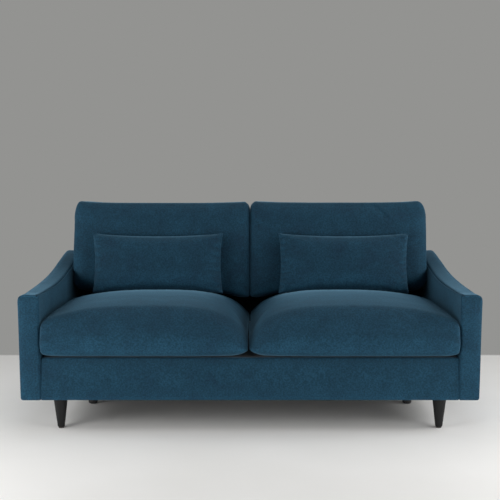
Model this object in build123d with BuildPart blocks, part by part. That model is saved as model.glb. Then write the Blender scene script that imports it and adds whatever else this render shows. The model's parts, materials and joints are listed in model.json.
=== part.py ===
from build123d import *

import os
from math import cos, floor, radians, sin, tan

# Two-seat sofa with scooped arms, six loose cushions and turned wooden legs.
# It stands on the floor at Z = 0, centred on X and Y, with its front towards -Y.

# Overall sizes
overall_width = 1740.0
overall_depth = 920.0
overall_height = 846.0
leg_height = 126.0
deck_top = 289.0

# Upholstery layers
cover_thickness = 3.0
arm_pad_thickness = 8.0
border_pad_thickness = 10.0
back_pad_thickness = 12.0
deck_thickness = 12.0
dust_cloth_thickness = 1.5

# Arms
arm_thickness = 75.0
arm_setback = 18.0
arm_front_top = 525.0
arm_level_length = 262.0
arm_sweep_radius = 2300.0
arm_sweep_angle = 10.5
arm_rear_round = 40.0
arm_outer_round = 22.0
arm_panel_thickness = 12.0
arm_member_width = 40.0
arm_bolt_spacing = 300.0
arm_bolt_diameter = 8.0
arm_bolt_head_diameter = 14.0
arm_bolt_head_height = 5.0
arm_bolt_end_length = 10.0

# Base timbers
rail_thickness = 28.0
lower_tier_height = 50.0
rear_bottom_rail_height = 100.0
bearer_width = 45.0
bearer_setback = 0.0
corner_block_size = 112.0
border_setback = 4.0
border_top_depth = 24.0
border_round = 9.0

# Seat springs
springs_per_seat = 6
spring_spacing = 120.0
spring_wire_diameter = 4.0
spring_width = 56.0
spring_loop_spacing = 44.0
clip_width = 14.0
clip_length = 16.0
clip_strap_thickness = 1.5
clip_inset = 8.0

# Back frame
back_top = 745.0
back_lean = 8.0
inside_back_setback = 125.0
back_post_width = 30.0
back_rail_height = 45.0
back_bottom_rail_thickness = 28.0
rear_seat_rail_gap = 17.0
webbing_width = 50.0
webbing_thickness = 2.0
webbing_strap_count = 4

# Legs and feet
leg_top_diameter = 56.0
leg_tip_diameter = 27.0
leg_tip_round = 4.0
leg_side_inset = 32.0
leg_end_inset = 27.0
leg_bolt_diameter = 8.0
leg_bolt_depth = 40.0
leg_bolt_rise = 38.0
glide_diameter = 21.0
glide_thickness = 4.0
tee_nut_flange_diameter = 26.0
tee_nut_flange_thickness = 1.5
tee_nut_barrel_diameter = 11.0
tee_nut_barrel_length = 9.0
support_foot_diameter = 39.0
support_foot_round = 9.0
support_foot_inset = 96.0
support_flange_diameter = 58.0
support_flange_thickness = 5.0
support_screw_diameter = 5.0
support_screw_head_diameter = 10.0
support_screw_head_height = 4.0
support_screw_rise = 30.0
support_seat_thickness = 24.0

# Loose cushions
seat_arm_gap = 4.0
seat_centre_gap = 4.0
seat_back_gap = 10.0
seat_front_top = 452.0
seat_rear_top = 432.0
seat_crown_setback = 315.0
seat_crown_top = 492.0
seat_side_top = 430.0
seat_front_round = 62.0
seat_shoulder_round = 40.0
seat_rear_round = 30.0
seat_corner_round = 32.0
seat_bottom_round = 24.0
seat_edge_relief = 2.0
back_cushion_thickness = 195.0
back_cushion_gap = 3.0
back_cushion_arm_gap = 7.0
back_cushion_corner_round = 42.0
back_cushion_front_round = 38.0
back_cushion_rear_round = 24.0
pillow_width = 550.0
pillow_height = 255.0
pillow_thickness = 110.0
pillow_centre = 404.0
pillow_gap = 1.0
pillow_corner_round = 40.0
pillow_edge_round = 38.0
cushion_cover_thickness = 3.0

# Shared clearances
rest_clearance = 0.3
fill_clearance = 0.4
thread_clearance = 0.1
hole_clearance = 0.2

# Planes and levels worked out from the sizes above
half_width = overall_width / 2
inner_half = half_width - arm_thickness
front_y = -overall_depth / 2
rear_y = overall_depth / 2
arm_front = front_y + arm_setback
border_front = arm_front + border_setback
rail_front = border_front + cover_thickness + border_pad_thickness
rail_back = rail_front + rail_thickness
border_back = border_front + border_top_depth
inside_back_y = rear_y - inside_back_setback
back_face_y = rear_y - cover_thickness
rear_rail_front = back_face_y - rail_thickness
rear_seat_rail_front = inside_back_y + rear_seat_rail_gap
timber_bottom = leg_height + dust_cloth_thickness
lower_tier_top = timber_bottom + lower_tier_height
clip_height = spring_wire_diameter + clip_strap_thickness
deck_bottom = deck_top - deck_thickness
rail_top = deck_bottom - clip_height - rest_clearance
side_rail_inner = inner_half - rail_thickness
bearer_y = bearer_setback - bearer_width / 2
leg_x = side_rail_inner - leg_side_inset
front_leg_y = rail_back + leg_end_inset
rear_leg_y = rear_rail_front - leg_end_inset
support_x = side_rail_inner - support_foot_inset
support_y = bearer_y
arm_bolt_z = (lower_tier_top + rail_top) / 2
sweep_start = arm_front + arm_level_length
lean = radians(back_lean)
lean_cos = cos(lean)
lean_sin = sin(lean)
sides = (("left", -1), ("right", 1))
leg_places = (
    ("front_left", -leg_x, front_leg_y),
    ("front_right", leg_x, front_leg_y),
    ("rear_left", -leg_x, rear_leg_y),
    ("rear_right", leg_x, rear_leg_y),
)
leg_points = [(x, y) for place, x, y in leg_places]
support_points = [(-support_x, support_y), (support_x, support_y)]
arm_bolt_rows = (-arm_bolt_spacing, 0.0, arm_bolt_spacing)
frame_inset = cover_thickness + arm_pad_thickness
arm_hole_diameter = arm_bolt_diameter + 2 * hole_clearance
tee_nut_hole_diameter = tee_nut_barrel_diameter + 2 * hole_clearance

os.makedirs("parts", exist_ok=True)


def save(piece, name):
    """Labels a finished piece and writes it as one node."""
    piece.part.label = name
    export_step(piece.part, f"parts/{name}.step")


def board(x_span, y_span, z_span):
    """A square-edged board or sheet between three pairs of limits."""
    centre = [(low + high) / 2 for low, high in (x_span, y_span, z_span)]
    size = [high - low for low, high in (x_span, y_span, z_span)]
    with BuildPart() as piece:
        with Locations(tuple(centre)):
            Box(*size)
    return piece


def side_span(sign, inner, outer):
    """Limits on X of something between two distances from the middle, on one side."""
    return (inner, outer) if sign > 0 else (-outer, -inner)


def bolt_points(sign, x):
    """Places of one arm's bolts at this distance from the middle."""
    return [(sign * x, y, arm_bolt_z) for y in arm_bolt_rows]


# Arms: two boards and four timbers in a box, padded and covered


def arm_face(x, inset, drop=0.0):
    """Side outline of an arm, drawn inwards, with its top lowered by the drop."""
    top = arm_front_top - inset - drop
    bottom = leg_height + inset
    front = arm_front + inset
    rear = rear_y - inset
    with BuildSketch(Plane.YZ.offset(x)) as outline:
        with BuildLine():
            level = Line((front, top), (sweep_start, top))
            sweep = JernArc(level @ 1, (1, 0), arm_sweep_radius + inset, arm_sweep_angle)
            end = sweep @ 1
            rear_top = end.Y + (rear - end.X) * tan(radians(arm_sweep_angle))
            Polyline(end, (rear, rear_top), (rear, bottom), (front, bottom), (front, top))
        make_face()
        fillet(outline.vertices().group_by(Axis.Y)[-1], arm_rear_round - inset)
    return outline.sketch


def arm_block(sign, inset, edge_round):
    """A solid arm, drawn inwards on every side, with its outer top edge rounded."""
    x_span = side_span(sign, inner_half + inset, half_width - inset)
    with BuildPart() as block:
        extrude(arm_face(x_span[0], inset), amount=x_span[1] - x_span[0])
        if edge_round > 0:
            outer_face = block.faces().sort_by(Axis.X)[-1 if sign > 0 else 0]
            low_limit = arm_front_top - arm_thickness
            fillet(outer_face.edges().filter_by(lambda edge: edge.center().Z > low_limit), edge_round)
    return block


for side, sign in sides:
    outer_block = arm_block(sign, 0.0, arm_outer_round)
    padded_block = arm_block(sign, cover_thickness, arm_outer_round - cover_thickness)
    frame_block = arm_block(sign, frame_inset, 0.0)
    wall_centre = inner_half + frame_inset / 2
    with BuildPart() as arm_cover:
        add(outer_block.part)
        add(padded_block.part, mode=Mode.SUBTRACT)
        with Locations(bolt_points(sign, wall_centre)):
            Cylinder(arm_hole_diameter / 2, frame_inset, rotation=(0, 90, 0), mode=Mode.SUBTRACT)
    save(arm_cover, f"{side}_arm_cover")

    with BuildPart() as arm_pad:
        add(padded_block.part)
        add(frame_block.part, mode=Mode.SUBTRACT)
        with Locations(bolt_points(sign, wall_centre)):
            Cylinder(arm_hole_diameter / 2, frame_inset, rotation=(0, 90, 0), mode=Mode.SUBTRACT)
    save(arm_pad, f"{side}_arm_pad")

    panel_inner = inner_half + frame_inset
    panel_outer = half_width - frame_inset
    near_panel = side_span(sign, panel_inner, panel_inner + arm_panel_thickness)
    far_panel = side_span(sign, panel_outer - arm_panel_thickness, panel_outer)
    with BuildPart() as arm_panels:
        extrude(arm_face(near_panel[0], frame_inset), amount=arm_panel_thickness)
        with Locations(bolt_points(sign, panel_inner + arm_panel_thickness / 2)):
            Cylinder(
                tee_nut_hole_diameter / 2, arm_panel_thickness, rotation=(0, 90, 0), mode=Mode.SUBTRACT
            )
        extrude(arm_face(far_panel[0], frame_inset), amount=arm_panel_thickness)
    save(arm_panels, f"{side}_arm_panels")

    core = side_span(sign, panel_inner + arm_panel_thickness, panel_outer - arm_panel_thickness)
    core_width = core[1] - core[0]
    core_bottom = leg_height + frame_inset
    core_front = arm_front + frame_inset
    core_rear = rear_y - frame_inset
    post_bottom = core_bottom + arm_member_width
    under_top_rail = arm_face(core[0], frame_inset, arm_member_width)
    with BuildPart() as arm_top_rail:
        extrude(arm_face(core[0], frame_inset), amount=core_width)
        extrude(under_top_rail, amount=core_width, mode=Mode.SUBTRACT)
    save(arm_top_rail, f"{side}_arm_top_rail")

    save(board(core, (core_front, core_rear), (core_bottom, post_bottom)), f"{side}_arm_bottom_rail")

    gap_between_posts = core_rear - core_front - 2 * arm_member_width
    with BuildPart() as arm_posts:
        extrude(under_top_rail, amount=core_width)
        with Locations(((core[0] + core[1]) / 2, (core_front + core_rear) / 2, core_bottom)):
            Box(core_width, core_rear - core_front, 2 * arm_member_width, mode=Mode.SUBTRACT)
            Box(core_width, gap_between_posts, 2 * overall_height, mode=Mode.SUBTRACT)
    save(arm_posts, f"{side}_arm_posts")

with BuildPart() as arm_bolts:
    head_centre = side_rail_inner - arm_bolt_head_height / 2
    shank_end = inner_half + frame_inset + arm_panel_thickness + arm_bolt_end_length
    shank_length = shank_end - side_rail_inner
    for side, sign in sides:
        with Locations(bolt_points(sign, head_centre)):
            Cylinder(arm_bolt_head_diameter / 2, arm_bolt_head_height, rotation=(0, 90, 0))
        with Locations(bolt_points(sign, side_rail_inner + shank_length / 2)):
            Cylinder(arm_bolt_diameter / 2, shank_length, rotation=(0, 90, 0))
save(arm_bolts, "arm_bolts")

with BuildPart() as arm_tee_nuts:
    flange_face = inner_half + frame_inset + arm_panel_thickness
    nut_length = tee_nut_barrel_length + tee_nut_flange_thickness
    for side, sign in sides:
        with Locations(bolt_points(sign, flange_face + tee_nut_flange_thickness / 2)):
            Cylinder(tee_nut_flange_diameter / 2, tee_nut_flange_thickness, rotation=(0, 90, 0))
        with Locations(bolt_points(sign, flange_face - tee_nut_barrel_length / 2)):
            Cylinder(tee_nut_barrel_diameter / 2, tee_nut_barrel_length, rotation=(0, 90, 0))
        with Locations(bolt_points(sign, flange_face)):
            Cylinder(
                arm_bolt_diameter / 2 + thread_clearance,
                2 * nut_length,
                rotation=(0, 90, 0),
                mode=Mode.SUBTRACT,
            )
save(arm_tee_nuts, "arm_tee_nuts")


# Base: rails, bearers and corner blocks that carry the springs and the legs

lower_tier = (timber_bottom, lower_tier_top)
rail_tier = (timber_bottom, rail_top)
save(board((-inner_half, inner_half), (rail_front, rail_back), rail_tier), "front_rail")

rear_seat_rail_span = (rear_seat_rail_front, rear_seat_rail_front + rail_thickness)
between_sides = (-side_rail_inner, side_rail_inner)
save(board(between_sides, rear_seat_rail_span, (lower_tier_top, rail_top)), "rear_seat_rail")

rear_bottom_tier = (timber_bottom, timber_bottom + rear_bottom_rail_height)
save(board(between_sides, (rear_rail_front, back_face_y), rear_bottom_tier), "rear_bottom_rail")

for side, sign in sides:
    rail_span = side_span(sign, side_rail_inner, inner_half)
    with BuildPart() as side_rail:
        add(board(rail_span, (rail_back, back_face_y), rail_tier).part)
        with Locations(bolt_points(sign, (side_rail_inner + inner_half) / 2)):
            Cylinder(arm_hole_diameter / 2, rail_thickness, rotation=(0, 90, 0), mode=Mode.SUBTRACT)
    save(side_rail, f"{side}_side_rail")

half_rail = rail_thickness / 2
save(board((-half_rail, half_rail), (rail_back, rear_rail_front), lower_tier), "centre_rail")

bearer_span = (bearer_y - bearer_width / 2, bearer_y + bearer_width / 2)
with BuildPart() as bearers:
    for side, sign in sides:
        add(board(side_span(sign, half_rail, side_rail_inner), bearer_span, lower_tier).part)
    with Locations([(x, y, timber_bottom + support_screw_rise / 2) for x, y in support_points]):
        Cylinder(
            support_screw_diameter / 2 + thread_clearance, support_screw_rise, mode=Mode.SUBTRACT
        )
save(bearers, "bearers")

with BuildPart() as corner_blocks:
    with BuildSketch(Plane.XY.offset(timber_bottom)):
        for side, sign in sides:
            corner_x = sign * side_rail_inner
            reach_x = sign * (side_rail_inner - corner_block_size)
            for corner_y, step in ((rail_back, corner_block_size), (rear_rail_front, -corner_block_size)):
                with BuildLine():
                    Polyline(
                        (corner_x, corner_y),
                        (reach_x, corner_y),
                        (corner_x, corner_y + step),
                        close=True,
                    )
                make_face()
    extrude(amount=lower_tier_height)
    with Locations([(x, y, timber_bottom + tee_nut_barrel_length / 2) for x, y in leg_points]):
        Cylinder(tee_nut_hole_diameter / 2, tee_nut_barrel_length, mode=Mode.SUBTRACT)
    with Locations([(x, y, timber_bottom + lower_tier_height / 2) for x, y in leg_points]):
        Cylinder(leg_bolt_diameter / 2 + hole_clearance, lower_tier_height, mode=Mode.SUBTRACT)
save(corner_blocks, "corner_blocks")

with BuildPart() as dust_cloth:
    cloth = (leg_height, timber_bottom)
    add(board((-inner_half, inner_half), (rail_front, back_face_y), cloth).part)
    with Locations([(x, y, timber_bottom) for x, y in leg_points]):
        Cylinder(tee_nut_flange_diameter / 2 + hole_clearance, lower_tier_height, mode=Mode.SUBTRACT)
    with Locations([(x, y, timber_bottom) for x, y in support_points]):
        Cylinder(support_screw_diameter / 2 + hole_clearance, lower_tier_height, mode=Mode.SUBTRACT)
save(dust_cloth, "dust_cloth")


# Front border: padding and cover over the front rail

pad_front = border_front + cover_thickness
pad_top = deck_top - cover_thickness
pad_back = border_back - cover_thickness
flap_top = leg_height + cover_thickness
with BuildPart() as border_pad:
    with BuildSketch(Plane.YZ.offset(-inner_half)) as pad_section:
        with BuildLine():
            Polyline(
                (pad_front, flap_top),
                (pad_front, pad_top),
                (pad_back, pad_top),
                (pad_back, rail_top),
                (rail_front, rail_top),
                (rail_front, flap_top),
                close=True,
            )
        make_face()
        round_corner = pad_section.vertices().sort_by_distance((pad_front, pad_top))[0]
        fillet(round_corner, border_round - cover_thickness)
    extrude(amount=2 * inner_half)
save(border_pad, "front_border_pad")

with BuildPart() as border_cover:
    with BuildSketch(Plane.YZ.offset(-inner_half)) as cover_section:
        with BuildLine():
            Polyline(
                (border_front, leg_height),
                (border_front, deck_top),
                (border_back, deck_top),
                (border_back, rail_top),
                (pad_back, rail_top),
                (pad_back, pad_top),
                (pad_front, pad_top),
                (pad_front, flap_top),
                (rail_front, flap_top),
                (rail_front, leg_height),
                close=True,
            )
        make_face()
        fillet(cover_section.vertices().sort_by_distance((border_front, deck_top))[0], border_round)
        inner_corner = cover_section.vertices().sort_by_distance((pad_front, pad_top))[0]
        fillet(inner_corner, border_round - cover_thickness)
    extrude(amount=2 * inner_half)
save(border_cover, "front_border_cover")


# Seat springs: zigzag wires clipped to the front and rear seat rails, under a felt deck

spring_front = rail_back - clip_inset
spring_rear = rear_seat_rail_front + clip_inset
spring_rows = floor((spring_rear - spring_front) / spring_loop_spacing)
spring_pitch = (spring_rear - spring_front) / spring_rows
bend_radius = spring_pitch / 2
straight_half = spring_width / 2 - bend_radius
wire_radius = spring_wire_diameter / 2
spring_places = [
    sign * spring_spacing * (number + 0.5) for side, sign in sides for number in range(springs_per_seat)
]
with BuildPart() as spring:
    with BuildLine(Plane.XY.offset(rail_top + wire_radius)) as spring_path:
        for row in range(spring_rows + 1):
            row_y = spring_front + row * spring_pitch
            turn = 1 if row % 2 == 0 else -1
            Line((-turn * straight_half, row_y), (turn * straight_half, row_y))
            if row < spring_rows:
                ThreePointArc(
                    (turn * straight_half, row_y),
                    (turn * spring_width / 2, row_y + bend_radius),
                    (turn * straight_half, row_y + spring_pitch),
                )
    with BuildSketch(Plane(spring_path.line @ 0, z_dir=(1, 0, 0))):
        Circle(wire_radius)
    sweep(path=spring_path.wires()[0])
with BuildPart() as seat_springs:
    with Locations([(x, 0, 0) for x in spring_places]):
        add(spring.part)
save(seat_springs, "seat_springs")

with BuildPart() as clip:
    slot_radius = wire_radius + hole_clearance
    with BuildSketch(Plane.YZ.offset(-clip_width / 2)):
        with Locations((0, clip_height / 2)):
            Rectangle(clip_length, clip_height)
        with Locations((0, wire_radius)):
            Circle(slot_radius, mode=Mode.SUBTRACT)
        with Locations((0, wire_radius / 2)):
            Rectangle(2 * slot_radius, wire_radius, mode=Mode.SUBTRACT)
    extrude(amount=clip_width)
with BuildPart() as spring_clips:
    with Locations([(x, y, rail_top) for x in spring_places for y in (spring_front, spring_rear)]):
        add(clip.part)
save(spring_clips, "spring_clips")

deck_span = (border_back, inside_back_y)
save(board((-inner_half, inner_half), deck_span, (deck_bottom, deck_top)), "seat_deck")


# Back: posts and rails with webbing, padded and covered, leaning back between the arms

lean_plane = Plane((0, inside_back_y, deck_top), x_dir=(1, 0, 0), z_dir=(0, -lean_cos, lean_sin))
webbing_inset = cover_thickness + back_pad_thickness
post_inset = webbing_inset + webbing_thickness
frame_top = back_top - cover_thickness


def leaning_y(z, inset):
    """Y at this height of a plane behind the inside back's face by the inset."""
    return inside_back_y + inset / lean_cos + (z - deck_top) * tan(lean)


def leaning_face(x, bottom, top, front_inset, rear):
    """Section on the plane at this X, between a leaning front line and a rear line."""
    with BuildSketch(Plane.YZ.offset(x)) as section:
        with BuildLine():
            Polyline(
                (leaning_y(bottom, front_inset), bottom),
                (leaning_y(top, front_inset), top),
                (rear(top), top),
                (rear(bottom), bottom),
                close=True,
            )
        make_face()
    return section.sketch


def square_back(z):
    """The upright rear line, in front of the outside back's cover."""
    return back_face_y


def pad_back_line(z):
    """The rear line of the back's padding."""
    return leaning_y(z, webbing_inset)


with BuildPart() as inside_back_cover:
    extrude(leaning_face(-inner_half, deck_top, back_top, 0.0, square_back), amount=2 * inner_half)
    cavity_half = inner_half - cover_thickness
    cavity = leaning_face(-cavity_half, deck_top, frame_top, cover_thickness, square_back)
    extrude(cavity, amount=2 * cavity_half, mode=Mode.SUBTRACT)
save(inside_back_cover, "inside_back_cover")

back_sheet = (back_face_y, rear_y)
save(board((-inner_half, inner_half), back_sheet, (leg_height, back_top)), "outside_back_cover")

with BuildPart() as back_pad:
    extrude(
        leaning_face(-cavity_half, deck_top, frame_top, cover_thickness, pad_back_line),
        amount=2 * cavity_half,
    )
save(back_pad, "back_pad")

post_face_inner = cavity_half - back_post_width
with BuildPart() as back_posts:
    for post_x in (-cavity_half, -back_post_width / 2, post_face_inner):
        extrude(leaning_face(post_x, rail_top, frame_top, post_inset, square_back), amount=back_post_width)
save(back_posts, "back_posts")

top_rail_depth = (leaning_y(frame_top, post_inset), back_face_y)
bottom_rail_front = leaning_y(deck_top + back_rail_height, post_inset)
bottom_rail_depth = (bottom_rail_front, bottom_rail_front + back_bottom_rail_thickness)
with BuildPart() as back_top_rails:
    for side, sign in sides:
        bay = side_span(sign, back_post_width / 2, post_face_inner)
        add(board(bay, top_rail_depth, (frame_top - back_rail_height, frame_top)).part)
save(back_top_rails, "back_top_rails")

with BuildPart() as back_bottom_rails:
    for side, sign in sides:
        bay = side_span(sign, back_post_width / 2, post_face_inner)
        add(board(bay, bottom_rail_depth, (deck_top, deck_top + back_rail_height)).part)
save(back_bottom_rails, "back_bottom_rails")

strap_step = (frame_top - deck_top) / lean_cos / webbing_strap_count
with BuildPart() as back_webbing:
    with BuildSketch(lean_plane.offset(-post_inset)):
        with Locations([(0, strap_step * (number + 0.5)) for number in range(webbing_strap_count)]):
            Rectangle(2 * cavity_half, webbing_width)
    extrude(amount=webbing_thickness)
save(back_webbing, "back_webbing")


# Legs, screwed into tee nuts in the corner blocks, and feet under the bearers

for place, x, y in leg_places:
    with BuildPart() as leg:
        with BuildSketch(Plane.XZ) as leg_section:
            with BuildLine():
                Polyline(
                    (0, glide_thickness),
                    (leg_tip_diameter / 2, glide_thickness),
                    (leg_top_diameter / 2, leg_height),
                    (0, leg_height),
                    close=True,
                )
            make_face()
            tip_corner = leg_section.vertices().sort_by_distance((leg_tip_diameter / 2, glide_thickness))[0]
            fillet(tip_corner, leg_tip_round)
        revolve(axis=Axis.Z)
        with Locations((0, 0, leg_height - leg_bolt_depth / 2)):
            Cylinder(leg_bolt_diameter / 2 + thread_clearance, leg_bolt_depth, mode=Mode.SUBTRACT)
    leg.part = leg.part.moved(Location((x, y, 0)))
    save(leg, f"{place}_leg")

with BuildPart() as leg_glides:
    with Locations([(x, y, glide_thickness / 2) for x, y in leg_points]):
        Cylinder(glide_diameter / 2, glide_thickness)
save(leg_glides, "leg_glides")

with BuildPart() as leg_bolts:
    bolt_centre = leg_height + (leg_bolt_rise - leg_bolt_depth) / 2
    with Locations([(x, y, bolt_centre) for x, y in leg_points]):
        Cylinder(leg_bolt_diameter / 2, leg_bolt_depth + leg_bolt_rise)
save(leg_bolts, "leg_bolts")

with BuildPart() as leg_tee_nuts:
    flange_centre = timber_bottom - tee_nut_flange_thickness / 2
    barrel_centre = timber_bottom + tee_nut_barrel_length / 2
    with Locations([(x, y, flange_centre) for x, y in leg_points]):
        Cylinder(tee_nut_flange_diameter / 2, tee_nut_flange_thickness)
    with Locations([(x, y, barrel_centre) for x, y in leg_points]):
        Cylinder(tee_nut_barrel_diameter / 2, tee_nut_barrel_length)
    with Locations([(x, y, timber_bottom) for x, y in leg_points]):
        Cylinder(leg_bolt_diameter / 2 + thread_clearance, lower_tier_height, mode=Mode.SUBTRACT)
save(leg_tee_nuts, "leg_tee_nuts")

screw_head_top = leg_height - support_seat_thickness
for side, sign in sides:
    with BuildPart() as support_foot:
        with Locations((sign * support_x, support_y, leg_height / 2)):
            Cylinder(support_foot_diameter / 2, leg_height)
        fillet(support_foot.edges().sort_by(Axis.Z)[0], support_foot_round)
        with Locations((sign * support_x, support_y, leg_height - support_flange_thickness / 2)):
            Cylinder(support_flange_diameter / 2, support_flange_thickness)
        with Locations((sign * support_x, support_y, screw_head_top / 2)):
            Cylinder(support_screw_head_diameter / 2 + hole_clearance, screw_head_top, mode=Mode.SUBTRACT)
        with Locations((sign * support_x, support_y, leg_height / 2)):
            Cylinder(support_screw_diameter / 2 + hole_clearance, leg_height, mode=Mode.SUBTRACT)
    save(support_foot, f"{side}_support_foot")

with BuildPart() as support_screws:
    shank_bottom = screw_head_top - support_screw_head_height
    shank_top = timber_bottom + support_screw_rise
    with Locations([(x, y, (shank_bottom + screw_head_top) / 2) for x, y in support_points]):
        Cylinder(support_screw_head_diameter / 2, support_screw_head_height)
    with Locations([(x, y, (shank_bottom + shank_top) / 2) for x, y in support_points]):
        Cylinder(support_screw_diameter / 2, shank_top - shank_bottom)
save(support_screws, "support_screws")


# Loose cushions: each a sewn cover round its filling

seat_rear = inside_back_y - seat_back_gap
crown_y = seat_rear - seat_crown_setback
seat_rest = (seat_rear_top - deck_top) * lean_cos - seat_back_gap * lean_sin
slab_bottom = seat_rest + rest_clearance
back_cushion_front = back_cushion_gap + back_cushion_thickness
round_rise = back_cushion_front_round + (back_cushion_front - back_cushion_front_round) * lean_sin
back_cushion_top = back_cushion_front_round + (overall_height - deck_top - round_rise) / lean_cos
back_cushion_span = (seat_centre_gap / 2, inner_half - back_cushion_arm_gap)
pillow_back = back_cushion_front + pillow_gap
pillow_span = (pillow_centre - pillow_width / 2, pillow_centre + pillow_width / 2)
fill_inset = cushion_cover_thickness + fill_clearance


def seat_block(sign, inset):
    """A seat cushion, drawn inwards: crowned both ways, rolled over the front, sloping down to the rear.

    The crown's roundings run past the upright sides by the edge relief, which leaves a soft crease there.
    """
    x_span = side_span(sign, seat_centre_gap / 2 + inset, inner_half - seat_arm_gap - inset)
    rear = seat_rear - inset
    front = front_y + inset
    bottom = deck_top + rest_clearance + inset
    middle = (x_span[0] + x_span[1]) / 2
    width = x_span[1] - x_span[0]
    past_low = x_span[0] - seat_edge_relief
    past_high = x_span[1] + seat_edge_relief
    past_front = front - seat_edge_relief
    past_rear = rear + seat_edge_relief
    below = bottom - seat_edge_relief
    rear_top = seat_rear_top - inset / lean_cos - (past_rear - seat_rear) * tan(lean)
    slope_top = seat_rear_top - inset / lean_cos + seat_crown_setback * tan(lean)
    front_top = seat_front_top - inset
    side_top = seat_side_top - inset
    with BuildPart() as block:
        with BuildSketch(Plane.YZ.offset(past_low)) as side_outline:
            with BuildLine():
                Line((past_rear, rear_top), (crown_y, slope_top))
                TangentArc((crown_y, slope_top), (past_front, front_top), tangent=(-lean_cos, lean_sin))
                Polyline((past_front, front_top), (past_front, below), (past_rear, below), (past_rear, rear_top))
            make_face()
            fillet(side_outline.vertices().group_by(Axis.X)[0].sort_by(Axis.Y)[-1], seat_front_round - inset)
            fillet(side_outline.vertices().group_by(Axis.X)[-1].sort_by(Axis.Y)[-1], seat_rear_round - inset)
        extrude(amount=past_high - past_low)
        with BuildSketch(Plane.XZ.offset(-past_rear)) as front_outline:
            with BuildLine():
                ThreePointArc((past_low, side_top), (middle, seat_crown_top - inset), (past_high, side_top))
                Polyline((past_high, side_top), (past_high, below), (past_low, below), (past_low, side_top))
            make_face()
            fillet(front_outline.vertices().group_by(Axis.Y)[-1], seat_shoulder_round - inset)
        extrude(amount=past_rear - past_front, mode=Mode.INTERSECT)
        with BuildSketch(Plane.XY.offset(bottom)):
            with Locations((middle, (front + rear) / 2)):
                RectangleRounded(width, rear - front, seat_corner_round - inset)
        extrude(amount=seat_crown_top - bottom, mode=Mode.INTERSECT)
        fillet(block.faces().sort_by(Axis.Z)[0].edges(), seat_bottom_round - inset)
    return block


def leaning_block(x_span, bottom, top, back, front, corner_round, rear_round, front_round):
    """A slab parallel to the inside back, with its corners and both rims rounded."""
    facing = Axis((0, 0, 0), (0, -lean_cos, lean_sin))
    with BuildPart() as block:
        with BuildSketch(lean_plane.offset(back)):
            with Locations(((x_span[0] + x_span[1]) / 2, (bottom + top) / 2)):
                RectangleRounded(x_span[1] - x_span[0], top - bottom, corner_round)
        extrude(amount=front - back)
        fillet(block.faces().sort_by(facing)[-1].edges(), front_round)
        fillet(block.faces().sort_by(facing)[0].edges(), rear_round)
    return block


def back_cushion_block(sign, inset):
    """A back cushion, drawn inwards."""
    low, high = side_span(sign, *back_cushion_span)
    return leaning_block(
        (low + inset, high - inset),
        slab_bottom + inset,
        back_cushion_top - inset,
        back_cushion_gap + inset,
        back_cushion_front - inset,
        back_cushion_corner_round - inset,
        back_cushion_rear_round - inset,
        back_cushion_front_round - inset,
    )


def pillow_block(sign, inset):
    """A lumbar pillow, drawn inwards."""
    low, high = side_span(sign, *pillow_span)
    return leaning_block(
        (low + inset, high - inset),
        slab_bottom + inset,
        slab_bottom + pillow_height - inset,
        pillow_back + inset,
        pillow_back + pillow_thickness - inset,
        pillow_corner_round - inset,
        pillow_edge_round - inset,
        pillow_edge_round - inset,
    )


cushion_kinds = (
    ("seat_cushion", seat_block),
    ("back_cushion", back_cushion_block),
    ("lumbar_pillow", pillow_block),
)
for side, sign in sides:
    for kind, block_of in cushion_kinds:
        with BuildPart() as cushion_cover:
            add(block_of(sign, 0.0).part)
            add(block_of(sign, cushion_cover_thickness).part, mode=Mode.SUBTRACT)
        save(cushion_cover, f"{side}_{kind}_cover")
        save(block_of(sign, fill_inset), f"{side}_{kind}_fill")
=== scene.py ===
"""Dressed model of a two-seat velvet sofa with scooped arms, six loose cushions and turned legs."""
import json
import logging
import math
from abc import ABC, abstractmethod
from collections.abc import Sequence
from dataclasses import dataclass
from enum import Enum

import bpy
import numpy as np
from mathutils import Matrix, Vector


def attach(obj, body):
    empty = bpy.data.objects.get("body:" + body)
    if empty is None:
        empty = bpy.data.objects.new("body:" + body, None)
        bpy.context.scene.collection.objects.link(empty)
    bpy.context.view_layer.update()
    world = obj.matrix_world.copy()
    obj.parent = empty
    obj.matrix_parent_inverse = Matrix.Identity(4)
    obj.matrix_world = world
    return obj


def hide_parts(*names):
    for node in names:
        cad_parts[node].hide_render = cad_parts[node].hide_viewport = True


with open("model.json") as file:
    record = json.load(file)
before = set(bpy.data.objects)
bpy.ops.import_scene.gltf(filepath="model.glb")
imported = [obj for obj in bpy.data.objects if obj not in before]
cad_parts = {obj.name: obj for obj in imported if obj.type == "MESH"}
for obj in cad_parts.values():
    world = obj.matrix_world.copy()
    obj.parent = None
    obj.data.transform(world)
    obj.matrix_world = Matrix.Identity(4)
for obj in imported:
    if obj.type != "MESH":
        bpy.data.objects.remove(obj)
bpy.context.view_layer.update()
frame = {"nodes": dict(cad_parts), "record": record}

MM = 0.001
# Length of one band of Blender's wave texture at scale 1, in metres.
WAVE_BAND = 0.314
LOG = logging.getLogger("sofa")
Array = np.ndarray
Material = bpy.types.Material
Piece = bpy.types.Object
Socket = bpy.types.NodeSocket
Tree = bpy.types.NodeTree
Pair = tuple[float, float]
Place = tuple[float, float, float]
Line = tuple[Pair, ...]
Stops = Sequence[tuple[float, str]]
Quads = list[list[int]]


class Side(Enum):
    """Side of the sofa, as someone facing it from the front sees it."""

    LEFT = -1
    RIGHT = 1

    @property
    def word(self) -> str:
        """Name of this side in the frame's node names."""
        return self.name.lower()

    def pick(self, pair: Pair) -> float:
        """Value of this side from a left and a right one."""
        return pair[0] if self is Side.LEFT else pair[1]


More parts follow.
